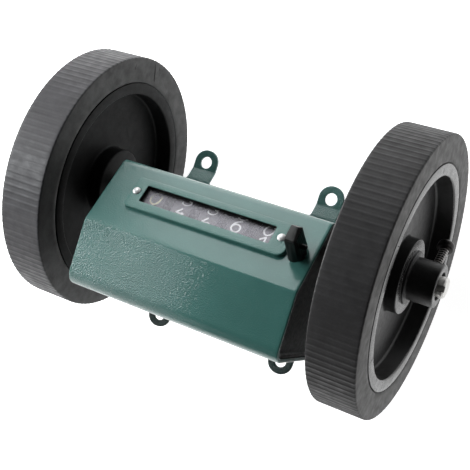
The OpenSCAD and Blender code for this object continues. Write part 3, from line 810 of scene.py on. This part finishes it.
def end_plate(name, side, node):
    xs = X1 - 0.3 if side > 0 else -X0 - 0.3
    # (inset from the housing skin, x measured inwards from the lip's face)
    prof = [(1.30, 2.0), (1.30, 0.45), (1.36, 0.22), (1.52, 0.06), (1.75, 0.0), (2.05, 0.0), (2.28, 0.06),
            (2.44, 0.22), (2.52, 0.45), (2.62, 0.66), (2.82, 0.82), (3.1, 0.9)]
    rings = []
    for d, x in prof:
        L = housing_loop(d, ZB + d - 1.2)
        rings.append(np.c_[np.full(len(L), side * (xs - x)), L])
    parts = [loft(rings, (False, False))]
    inner = housing_loop(3.1, ZB + 1.9)
    hole = circle(AY, AZ, 5.5, 64)
    for x, flip in ((0.9, False), (2.0, True)):
        outl = inner if not flip else housing_loop(1.30, ZB + 0.1)
        P, T, nl = triangulate([outl, hole], grid(-HW, HW, 0, TOP, 2.2, 2.2))
        parts.append((np.c_[np.full(len(P), side * (xs - x)), P], T.tolist()))
    parts.append(loft([np.c_[np.full(64, side * (xs - x)), hole] for x in (0.9, 2.0)], (False, False)))
    for y in (-12, 12):
        P = rect(-9, -1.9, y - 4, y + 4, 0.6, 3, 2)
        hl = circle(-5.1, y, 1.25, 20)
        if side > 0:
            f = lambda Q, d: np.c_[xs + Q[:, 0], Q[:, 1], ZB + 1.3 - d]
        else:
            f = lambda Q, d: np.c_[-(xs + Q[:, 0]), Q[:, 1], ZB + 1.3 - d]
        parts.append(plate(P, [hl], 1.25, 0.12, f, grid(-9, 0, -20, 20, 2, 2), 2))
    return piece(name, *join_parts(parts), body="housing", nodes=(node,), slot="black_paint", mat=M["black"], sharp=45)


end_plate("end_plate_right", 1, "right_end_plate")
end_plate("end_plate_left", -1, "left_end_plate")


# ---------------------------------------------------------------- bezel and rivets

def bezel_map(Q, d):
    return on_face(Q[:, 0], Q[:, 1], 1.52 - d)


bx0, bx1, bs0, bs1 = -24.0, 34.2, 8.85, 20.75
# outline: square-ish left corners, rounder right corners
outl = densify(fillet([(bx0, bs0), (bx1, bs0), (bx1, bs1), (bx0, bs1)], [1.0, 2.4, 1.8, 1.6], True, 9), 0.5)
win = rect(-19.35, 28.15, 11.85, 18.25, 0.35, 4, 0.6)
V, F = plate(outl, [win, circle(-22.2, 15.1, 1.03, 28), circle(31.2, 15.1, 1.03, 28)], 1.5, 0.24, bezel_map,
             grid(bx0, bx1, bs0, bs1, 0.9, 0.9), 4, 0.05)
bezel = piece("bezel_frame", V, F, body="housing", nodes=("bezel_plate",), slot="green_paint", mat=M["green_flat"], sharp=60)
# the walls of the opening take the black paint: painted shade along the window's edges
bezel.data.materials.append(M["black"])
co, nr = np.empty(len(bezel.data.polygons) * 3), np.empty(len(bezel.data.polygons) * 3)
bezel.data.polygons.foreach_get("center", co)
bezel.data.polygons.foreach_get("normal", nr)
co, nr = co.reshape(-1, 3) / MM, nr.reshape(-1, 3)
fs = (co[:, 1] - CREASE_Y) * CF - (co[:, 2] - TOP) * SF
wall = (np.abs(nr[:, 1] * SF + nr[:, 2] * CF) < 0.72) & (co[:, 0] > -19.9) & (co[:, 0] < 28.7) & (fs > 11.4) & (fs < 18.7)
bezel.data.polygons.foreach_set("material_index", wall.astype(int).tolist())


def axis_lathe(prof, n, origin, axis, closed=False, up=(0, 0, 1)):
    """Revolves (r, h) points about an axis through origin."""
    a = np.array(axis, float)
    a /= np.linalg.norm(a)
    u = np.cross(a, up if abs(a @ np.array(up, float)) < 0.9 else (1, 0, 0))
    u /= np.linalg.norm(u)
    v = np.cross(a, u)
    prof = np.asarray(prof, float)
    rings = []
    for k in range(n):
        t = 2 * math.pi * k / n
        dirn = math.cos(t) * u + math.sin(t) * v
        rings.append(np.array(origin)[None, :] + prof[:, :1] * dirn[None, :] + prof[:, 1:2] * a[None, :])
    m = len(prof)
    V = np.vstack(rings)
    F = []
    for i in range(n):
        i2 = (i + 1) % n
        for j in range(m if closed else m - 1):
            j2 = (j + 1) % m
            F.append([i * m + j, i * m + j2, i2 * m + j2, i2 * m + j])
    return V, F


FN = np.array([0, SF, CF])
parts = []
for x in (-22.2, 31.2):
    o = on_face(x, 15.1, 0.0)
    dome = [(1.38 * math.sin(math.radians(a)) ** 0.9, 1.53 + 0.72 * math.cos(math.radians(a))) for a in range(0, 91, 9)]
    prof = [(0.0, 2.25)] + dome[1:] + [(1.36, 1.50), (0.99, 1.50), (0.99, -1.25), (1.45, -1.25), (1.5, -1.4), (1.45, -1.8), (1.2, -2.0), (0.0, -2.0)]
    parts.append(axis_lathe(prof, 40, o, FN))
piece("bezel_rivet_heads", *join_parts(parts), body="housing", nodes=("bezel_rivets",), slot="bright_rivet", mat=M["rivet"])


# ---------------------------------------------------------------- wheels

def wheel_core(name, mirror, node, mat):
    pts = [(3.53, 50.6, 0), (12.6, 50.6, 0.6), (12.6, 56.5, 0.9), (34.1, 56.5, 1.0), (34.1, 49.8, 0.55), (38.1, 49.8, 0.12),
           (38.1, 66.2, 0.12), (34.1, 66.2, 0.55), (34.1, 59.5, 1.0), (12.6, 59.5, 0.9), (12.6, 64.1, 0.35), (8.95, 64.1, 0.25),
           (8.95, 65.1, 0.3), (7.2, 65.1, 0.2), (7.2, 73.9, 0.45), (4.7, 73.9, 0.12), (4.7, 72.7, 0.15), (3.53, 72.7, 0)]
    prof = fillet([p[:2] for p in pts], [p[2] for p in pts], True, 4)
    V, F = lathe(prof, 256, mirror=mirror)
    ob = piece(name, V, F, body="wheels", nodes=(node,), slot="black_plastic", mat=mat, sharp=50)
    ob.data.materials.append(M["boss"])
    ob.data.materials.append(M["rim"])
    ob.data.materials.append(M["hub"])
    # the boss's flat outer face and the hub's end face take a lighter grey moulding
    co = np.empty(len(ob.data.polygons) * 3)
    ob.data.polygons.foreach_get("center", co)
    co = co.reshape(-1, 3) / MM
    r = np.hypot(co[:, 1] - AY, co[:, 2] - AZ)
    idx = np.zeros(len(co), int)
    idx[(np.abs(np.abs(co[:, 0]) - 64.1) < 0.03) & (r > 8.9) & (r < 12.45)] = 1
    # the rim's outer annulus: lighter grey as painted highlight
    idx[(np.abs(co[:, 0]) > 65.6) & (r > 33.8)] = 2
    # the hub: lighter grey as painted light
    idx[(np.abs(co[:, 0]) > 64.2) & (r < 9.5)] = 3
    idx[(np.abs(co[:, 0]) > 73.55)] = 1
    ob.data.polygons.foreach_set("material_index", idx.tolist())
    return ob


wheel_core("wheel_core_right", False, "right_wheel_core", M["plastic"])
wheel_core("wheel_core_left", True, "left_wheel_core", M["plastic_in"])

RIBS, PER = 127, 12


def tyre(name, mirror, node, phase, tread, side):
    pts = [(38.1, 49.8, 0), (47.75, 49.8, 0.6), (47.75, 66.2, 0.6), (38.1, 66.2, 0)]
    prof = fillet([p[:2] for p in pts], [p[2] for p in pts], True, 6)
    # a shallow step beside the rim on each face, and rows across the tread
    prof = np.vstack([
        [(38.1, 50.35), (38.45, 50.3), (38.62, 49.95), (38.8, 49.84), (40.2, 49.86), (44.5, 49.8)],
        prof[1:8],
        [(47.75, x) for x in np.linspace(51.5, 64.5, 6)],
        prof[8:15],
        [(44.5, 66.2), (40.2, 66.14), (38.8, 66.16), (38.62, 66.05), (38.45, 65.7), (38.1, 65.65)]])

    def rib(th, R, X):
        ph = (th * RIBS / (2 * math.pi) + phase) % 1.0
        g = np.clip((np.abs(ph - 0.5) - 0.03) / 0.26, 0, 1)
        g = g * g * (3 - 2 * g)
        w = np.clip((R - 46.9) / 0.7, 0, 1)
        wob = 0.03 * np.sin(3 * th) + 0.02 * np.sin(11 * th + 1)
        return R - w * (0.10 * g * (1 + 5 * wob) + 0.01)
    V, F = lathe(prof, RIBS * PER, mirror=mirror, rfun=rib)
    ob = piece(name, V, F, body="wheels", nodes=(node,), slot="tyre_rubber", mat=tread, sharp=60)
    ob.data.materials.append(side)
    nr = np.empty(len(ob.data.polygons) * 3)
    ob.data.polygons.foreach_get("normal", nr)
    nr = nr.reshape(-1, 3)
    ob.data.polygons.foreach_set("material_index", (np.abs(nr[:, 0]) > 0.75).astype(int).tolist())
    return ob


tyre("tyre_right", False, "right_tyre", 0.0, M["tread"], M["side"])
tyre("tyre_left", True, "left_tyre", 0.35, M["tread_left"], M["side_in"])


def sliver(name, pts, widths, x, lift, mat, body="wheels"):
    """A narrow closed strip on a wheel face at x; pts are (radius, degrees)."""
    P = np.array([(AY + r * math.cos(math.radians(a)), AZ + r * math.sin(math.radians(a))) for r, a in pts])
    rings = []
    for i, p in enumerate(P):
        t = P[min(i + 1, len(P) - 1)] - P[max(i - 1, 0)]
        t /= np.linalg.norm(t)
        n = np.array([-t[1], t[0]]) * widths[i] / 2
        rings.append([[x - lift * 0.5, *(p - n)], [x + lift, *(p - n * 0.5)], [x + lift, *(p + n * 0.5)], [x - lift * 0.5, *(p + n)]])
    return piece(name, *loft([np.array(r) for r in rings]), body=body, mat=mat, slot="tyre_rubber", sharp=30)


sliver("tyre_left_crack", [(46.6, 1.6), (45.2, 0.6), (43.6, -0.5), (42.0, -1.3), (41.0, -2.0), (40.2, -2.7)],
       [0.2, 0.6, 0.7, 0.6, 0.5, 0.15], -W_IN, 0.02, M["mark"])
sliver("tyre_left_nick", [(46.3, -3.2), (45.6, -3.6), (44.9, -4.2)], [0.15, 0.4, 0.12], -W_IN, 0.015, M["mark"])
sliver("tyre_left_scuff", [(45.4, 17.0), (44.2, 17.6), (43.2, 18.0)], [0.1, 0.3, 0.1], -W_IN, 0.012, M["mark"])
for i, (r, a) in enumerate(((36.0, 15.6), (35.4, 76.4), (35.6, 137.6))):
    sliver("rim_right_tick_%d" % (i + 1), [(r - 0.9, a - 0.35), (r, a), (r + 1.1, a + 0.3)], [0.2, 0.45, 0.2], W_OUT, 0.012, M["mark"])


# ---------------------------------------------------------------- set screws

def set_screw(name, ang, mirror, node):
    c = np.array([70.0, AY, AZ])
    if mirror:
        c[0] = -70.0
    a = math.radians(ang)
    ax = np.array([0, math.cos(a), math.sin(a)])
    u = np.array([1.0, 0, 0])
    v = np.cross(ax, u)
    N, pitch = 48, 0.9
    th = np.arange(N) * 2 * math.pi / N
    rings = []

    def ring(h, r):
        r = np.broadcast_to(r, (N,))
        return c[None] + h * ax[None] + r[:, None] * (np.cos(th)[:, None] * u + np.sin(th)[:, None] * v)
    rings.append(ring(3.55, 0.9))
    rings.append(ring(3.75, 1.2))
    for h in np.arange(4.0, 14.05, pitch / 10):
        ph = (h / pitch - th / (2 * math.pi)) % 1.0
        tri = 1 - np.abs(2 * ph - 1)
        rings.append(ring(h, 1.06 + 0.41 * np.clip(tri * 1.4 - 0.25, 0, 1)))
    # head: underside fillet, knurl-free cylinder, rounded crown, hexagon socket
    for h, r in ((14.12, 1.5), (14.2, 1.9), (14.22, 2.45), (14.32, 2.66), (14.5, 2.75), (15.9, 2.75), (16.35, 2.68), (16.75, 2.45), (17.02, 2.1), (17.16, 1.75)):
        rings.append(ring(h, r))
    hexr = 1.35 * math.cos(math.pi / 6) / np.cos((th % (math.pi / 3)) - math.pi / 6)
    rings.append(ring(17.14, hexr * 1.06))
    rings.append(ring(17.02, hexr))
    rings.append(ring(15.75, hexr))
    rings.append(ring(15.6, hexr * 0.8))
    V, F = loft(rings)
    ob = piece(name, V, F, body="wheels", nodes=(node,), slot="black_oxide", mat=M["screw"], sharp=40)
    # the head keeps the black oxide; the thread roots take it too, as painted shade, and the crests are rubbed bright
    ob.data.materials.append(M["oxide"])
    co = np.empty(len(ob.data.polygons) * 3)
    ob.data.polygons.foreach_get("center", co)
    co = co.reshape(-1, 3) / MM - c
    h = co @ ax
    r = np.linalg.norm(co - h[:, None] * ax, axis=1)
    ob.data.polygons.foreach_set("material_index", ((r < 1.28) | (h > 14.0)).astype(int).tolist())
    return ob


set_screw("set_screw_right", -35, False, "right_set_screw")
set_screw("set_screw_left", 100, True, "left_set_screw")


# ---------------------------------------------------------------- reset knob and its screw

def resample(P, n, start_dir=(1, 0)):
    """n points on a closed loop, by angle about its middle."""
    c = P.mean(0)
    Q = densify(P, 0.03)
    a = np.arctan2(Q[:, 1] - c[1], Q[:, 0] - c[0])
    o = np.argsort(a)
    a, Q = a[o], Q[o]
    t = -math.pi + (np.arange(n) + 0.5) * 2 * math.pi / n
    aa = np.r_[a - 2 * math.pi, a, a + 2 * math.pi]
    return np.c_[np.interp(t, aa, np.tile(Q[:, 0], 3)), np.interp(t, aa, np.tile(Q[:, 1], 3))]


def knob():
    n = 160
    foot = fillet([(-2.15, -4.15), (2.15, -4.15), (2.15, 4.15), (-2.15, 4.15)], 2.14, True, 14)
    # photographed seen shape: the grip narrows to a crest, with a slanting right edge
    shoulder = fillet([(-1.85, -2.9), (1.75, -2.9), (1.5, 3.5), (-1.85, 3.4)], 0.35, True, 5)
    crest = fillet([(-1.7, -2.7), (1.6, -2.8), (0.65, 2.6), (-1.8, 2.7)], 0.3, True, 5)
    F0, S0, C0 = (resample(q, n) for q in (foot, shoulder, crest))
    rings = []

    def at(P, h):
        return on_face(KNOB_X + P[:, 0], KNOB_S - 0 + P[:, 1], h)

    def scaled(P, k):
        c = P.mean(0)
        d = P - c
        ln = np.linalg.norm(d, axis=1)
        return c + d * ((ln - np.broadcast_to(k, ln.shape)) / ln)[:, None]
    barrel = circle(0, 0, 2.7, n)
    barrel = resample(barrel, n)
    rings += [at(scaled(barrel, 0.25), 0.25), at(scaled(barrel, 0.05), 0.32), at(barrel, 0.5), at(barrel, 1.6), at(scaled(barrel, 0.1), 1.74)]
    rings += [at(scaled(F0, 0.16), 1.76), at(scaled(F0, 0.04), 1.82), at(F0 + (S0 - F0) * 0.02, 1.98)]
    flute = 0.05 * (np.arange(n) // 5 % 2)
    for k in np.linspace(0.06, 1, 16):
        deep = flute if 0.1 < k < 0.93 else flute * 0
        rings.append(at(scaled(F0 + (S0 - F0) * k, deep), 1.95 + (KNOB_H - 1.15 - 1.95) * k))
    rings.append(at(scaled(S0, 0.16), KNOB_H - 1.10))
    rings.append(at(scaled(S0, 0.14), KNOB_H - 0.98))
    for k in (0.2, 0.45, 0.75):
        rings.append(at(S0 + (C0 - S0) * k, KNOB_H - 1.15 + 1.0 * k))
    for a in (20, 45, 70, 90):
        s = math.sin(math.radians(a))
        rings.append(at(scaled(C0, 0.22 * (1 - math.cos(math.radians(a)))), KNOB_H - 0.24 + 0.22 * s))
    V, F = loft(rings)
    return piece("reset_knob_grip", V, F, body="reset", nodes=("reset_knob",), slot="knob_plastic", mat=M["knob"], sharp=50)


knob()


def knob_screw():
    c = on_face(KNOB_X, KNOB_S, 5.4)
    N = 36
    th = np.arange(N) * 2 * math.pi / N
    v = np.array([0, CF, -SF])
    w = FN

    def ring(x, r):
        r = np.broadcast_to(r, (N,))
        return np.array([c[0] + x, c[1], c[2]])[None] + r[:, None] * (np.cos(th)[:, None] * v + np.sin(th)[:, None] * w)
    hexr = 0.42 * math.cos(math.pi / 6) / np.cos((th % (math.pi / 3)) - math.pi / 6)
    rings = [ring(1.3, 0.7), ring(1.4, 0.8)]
    for x in np.arange(1.5, 3.3, 0.05):
        ph = (x / 0.4 - th / (2 * math.pi)) % 1.0
        rings.append(ring(x, 0.80 + 0.08 * (1 - np.abs(2 * ph - 1))))
    rings += [ring(3.42, 0.86), ring(3.55, 0.78), ring(3.6, 0.62), ring(3.6, hexr * 1.05), ring(3.5, hexr), ring(2.95, hexr), ring(2.9, hexr * 0.7)]
    V, F = loft(rings)
    return piece("knob_grub_screw", V, F, body="reset", nodes=("knob_screw",), slot="black_oxide", mat=M["oxide"], sharp=40)


knob_screw()


# ---------------------------------------------------------------- numbers on the drums

def arc(cx, cy, rx, ry, a0, a1, n=24):
    t = np.radians(np.linspace(a0, a1, n))
    return [(cx + rx * math.cos(q), cy + ry * math.sin(q)) for q in t]


# strokes in a box 0.68 wide and 1 high, y upwards
GLYPHS = {
    0: [arc(0.34, 0.5, 0.31, 0.48, 90, 450, 48)],
    1: [[(0.06, 0.71), (0.42, 0.98), (0.42, 0.02)]],
    2: [arc(0.34, 0.70, 0.29, 0.28, 165, -20, 20) + [(0.50, 0.42), (0.30, 0.22), (0.06, 0.03), (0.64, 0.03)]],
    3: [arc(0.33, 0.78, 0.24, 0.20, 150, -80, 22) + arc(0.33, 0.33, 0.31, 0.27, 85, -178, 28)],
    4: [[(0.37, 0.83), (0.03, 0.46), (0.62, 0.46)], [(0.46, 0.56), (0.46, 0.02)]],
    5: [[(0.60, 0.97), (0.16, 0.97), (0.10, 0.56)] + arc(0.33, 0.32, 0.31, 0.30, 125, -150, 30)],
    6: [[(0.52, 0.98)] + arc(0.70, 0.40, 0.64, 0.56, 118, 178, 12) + arc(0.35, 0.31, 0.30, 0.29, 178, 538, 40)],
    7: [[(0.04, 0.97), (0.64, 0.97), (0.26, 0.02)]],
    8: [arc(0.34, 0.75, 0.24, 0.23, 90, 450, 36), arc(0.34, 0.27, 0.30, 0.26, 90, 450, 40)],
    9: [[(0.16, 0.02)] + arc(-0.02, 0.60, 0.64, 0.56, -62, -2, 12) + arc(0.33, 0.69, 0.30, 0.29, -2, 358, 40)],
}
DIG_W, DIG_H, STROKE = 3.45, 5.1, 0.63


def glyph_strips(d, x_mid, ang_mid, wide=1.0):
    """Raised strips of one digit on a drum; its top points towards smaller drum angles."""
    out = []
    for line in GLYPHS[d]:
        P = densify(np.array(line) * [wide * DIG_W / 0.68, DIG_H], 0.16, False)
        closed = np.linalg.norm(P[0] - P[-1]) < 0.05
        if closed:
            P = P[:-1]
        n = len(P)
        rings = []
        for i in range(n):
            a = P[(i - 1) % n] if closed else P[max(i - 1, 0)]
            b = P[(i + 1) % n] if closed else P[min(i + 1, n - 1)]
            t = b - a
            t = t / max(np.linalg.norm(t), 1e-9)
            nn = np.array([-t[1], t[0]])
            w = wide * STROKE / 2
            if not closed and i in (0, n - 1):
                w *= 0.55
            ring = []
            for k, h in ((-1, -0.05), (-0.86, 0.03), (0.86, 0.03), (1, -0.05)):
                q = P[i] + nn * w * k
                x = x_mid + (q[0] - wide * DIG_W / 2)
                ang = math.radians(ang_mid) - (q[1] - DIG_H / 2) / DRUM_R
                r = DRUM_R + h
                ring.append([x, CSY + r * math.cos(ang), CSZ + r * math.sin(ang)])
            rings.append(np.array(ring))
        out.append(loft(rings, closed=closed))
    return out


DRUMS = [  # body, index, digit shown, drum angle of its middle, shift along X
    ("top", 0, 0, 49.8, -0.3, "cream"),
    ("thousands", 1, 4, 64.9, 0.2, "white"),
    ("hundreds", 2, 4, 67.2, -0.1, "white"),
    ("tens", 3, 6, 52.6, -0.15, "white"),
    ("units", 4, 1, 73.2, 0.1, "white"),
]
for body, k, dig, ang, dx, ink in DRUMS:
    x_mid = 4.3 + (k - 2) * 10.2 + dx
    parts = []
    for j in range(10):
        parts += glyph_strips((dig + j) % 10, x_mid, ang + 36 * j, 1.16 if ink == "cream" else 1.0)
    piece("numbers_" + body, *join_parts(parts), body=body, slot="drum_plastic", mat=M[ink], sharp=30)


# the polished bead along both edges of each drum
for body, k, dig, ang, dx, ink in DRUMS:
    c = 4.3 + (k - 2) * 10.2
    parts = []
    for e in (c - 3.16, c + 3.16):
        bead = [(DRUM_R - 0.12 + 0.16 * math.sin(math.radians(a)), e + 0.24 * math.cos(math.radians(a))) for a in range(0, 360, 30)]
        parts.append(lathe(bead, 120, cy=CSY, cz=CSZ))
    piece("drum_beads_" + body, *join_parts(parts), body=body, slot="drum_plastic", mat=M["drum_edge"], sharp=50)


# ---------------------------------------------------------------- worn paint on the cover's right front edge
def worn_edge(name, z0, z1, n, half, seed):
    """A bare strip along the rounded sheet edge between z0 and z1, ragged on both sides."""
    rng = np.random.default_rng(seed)
    r = 0.335
    rings = []
    for i, z in enumerate(np.linspace(z0, z1, n)):
        t = i / (n - 1)
        w = half * (math.sin(math.pi * t) ** 0.5) * (0.75 + 0.4 * rng.random()) + 1.5
        mid = -38 + 9 * (rng.random() - 0.5)
        arcp = [(X1 - 0.32 + r * math.cos(math.radians(a)), -HW + 0.32 + r * math.sin(math.radians(a))) for a in np.linspace(mid - w, mid + w, 7)]
        inn = [(X1 - 0.32 + 0.27 * math.cos(math.radians(a)), -HW + 0.32 + 0.27 * math.sin(math.radians(a))) for a in (mid + w, mid - w)]
        rings.append(np.array([[x, y, z] for x, y in arcp + inn]))
    return piece(name, *loft(rings), body="housing", slot="green_paint", mat=M["bare"], sharp=40)


worn_edge("paint_wear_corner", 45.0, 52.6, 24, 34, 3)
worn_edge("paint_wear_corner_low", 38.2, 40.6, 9, 18, 5)


# ---------------------------------------------------------------- floor, light, camera
def area_light(name, loc, target, size, power, color=(1, 1, 1), size_y=None):
    L = bpy.data.lights.new(name, "AREA")
    L.energy = power
    L.color = color
    L.shape = "RECTANGLE"
    L.size = size * MM
    L.size_y = (size_y or size) * MM
    ob = bpy.data.objects.new(name, L)
    scene.collection.objects.link(ob)
    loc, target = Vector(loc) * MM, Vector(target) * MM
    ob.location = loc
    ob.rotation_euler = (target - loc).to_track_quat("-Z", "Y").to_euler()
    return ob


def softbox(name, az, el, share, tint=(1, 1, 1), dist=520, size=260):
    """A square softbox; az is measured from +X towards +Y and el from the horizon, in degrees."""
    a, e = math.radians(az), math.radians(el)
    loc = (dist * math.cos(e) * math.cos(a), dist * math.cos(e) * math.sin(a), 30 + dist * math.sin(e))
    return area_light(name, loc, (0, 0, 30), size, 5.0 * share, tint)


softbox("soft_left_low", 167, 17, 0.68)
softbox("soft_front_left_low", 225, 18, 0.155)
softbox("soft_right_low", 30, 20, 0.045)
softbox("soft_back_low", 116, 6, 0.15)
area_light("soft_left_near", (-232, -30, 240), (-10, -12, 57), 84, 0.585, (0.95, 0.985, 1.0))
area_light("soft_back_near", (-107, 250, 194), (0, 0, 50), 138, 0.255, (0.955, 0.985, 1.0), 150)


w = bpy.data.worlds.new("studio")
scene.world = w
w.use_nodes = True
bg = w.node_tree.nodes["Background"]
bg.inputs[0].default_value = (1, 1, 1, 1)
bg.inputs[1].default_value = 0.01


def floor():
    me = bpy.data.meshes.new("floor")
    s, z = 8.0, -0.0318
    n = 24
    g = np.linspace(-s, s, n + 1)
    V = [(x, y, z) for x in g for y in g]
    F = [[i * (n + 1) + j, (i + 1) * (n + 1) + j, (i + 1) * (n + 1) + j + 1, i * (n + 1) + j + 1] for i in range(n) for j in range(n)]
    me.from_pydata(V, [], F)
    ob = bpy.data.objects.new("floor", me)
    scene.collection.objects.link(ob)
    m = Mat("floor_pale", rough=0.9, spec=0.1)
    m.color(m.mix(m.rng(m.noise(300, 2), 0.3, 0.7, 0, 1), (0.88, 0.88, 0.88), (0.87, 0.87, 0.87)))
    m.b.inputs["Emission Color"].default_value = (1, 1, 1, 1)
    m.b.inputs["Emission Strength"].default_value = 0.94
    me.materials.append(m.m)
    return ob


floor()

cam_data = bpy.data.cameras.new("camera")
cam = bpy.data.objects.new("camera", cam_data)
scene.collection.objects.link(cam)
right = Vector((0.84819, 0.29346, -0.44097))
up = Vector((-0.28212, 0.95488, 0.09281))
back = Vector((0.44831, 0.04568, 0.89271))
back.normalize()
right = (right - back * right.dot(back)).normalized()
up = back.cross(right)
mat = Matrix.Identity(4)
for i in range(3):
    mat[i][0], mat[i][1], mat[i][2] = right[i], up[i], back[i]
mat[0][3], mat[1][3], mat[2][3] = 0.132752, 0.022192, 0.316326
cam.matrix_world = mat
cam_data.sensor_fit = "HORIZONTAL"
cam_data.sensor_width = 36.0
cam_data.lens = 932.49 * 36.0 / 470.0
cam_data.shift_x = (235 - 187.82) / 470.0
cam_data.shift_y = (223.34 - 235) / 470.0
cam_data.clip_start = 0.01
cam_data.clip_end = 20
scene.camera = cam
scene.view_settings.view_transform = "Standard"
scene.view_settings.look = "None"

bpy.context.view_layer.update()
